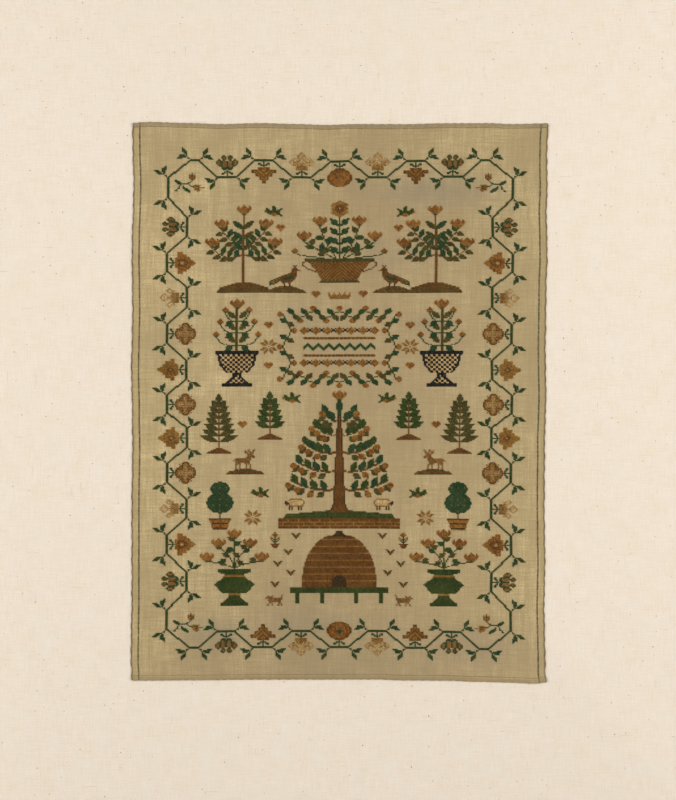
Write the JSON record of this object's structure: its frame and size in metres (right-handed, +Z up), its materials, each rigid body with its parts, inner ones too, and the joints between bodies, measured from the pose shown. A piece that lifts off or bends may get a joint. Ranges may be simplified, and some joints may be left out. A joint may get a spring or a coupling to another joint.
{
  "type": "cross stitch sampler on a calico-covered mount board",
  "caption": "Rectangular stitched sampler cloth with narrow hems and wavy selvedges, sewn flat to the middle of a larger board covered in cream calico that is turned in at the back.",
  "frame": {"origin": "middle of the underside of the mount, on the surface that it lies on", "axes": "+Z up out of the stitched face, +Y towards the top of the needlework, +X to its right"},
  "size_m": [0.54, 0.634, 0.01],
  "materials": {
    "board": "matt grey-white laminated card",
    "calico": "unbleached plain-weave cotton with brown seed flecks",
    "sampler_ground": "aged plain-weave wool ground, tan, with silk stitching"
  },
  "bodies": {
    "root": {"mount_board": "board", "mount_cover": "calico", "sampler_cloth": "sampler_ground"}
  },
  "joints": []
}
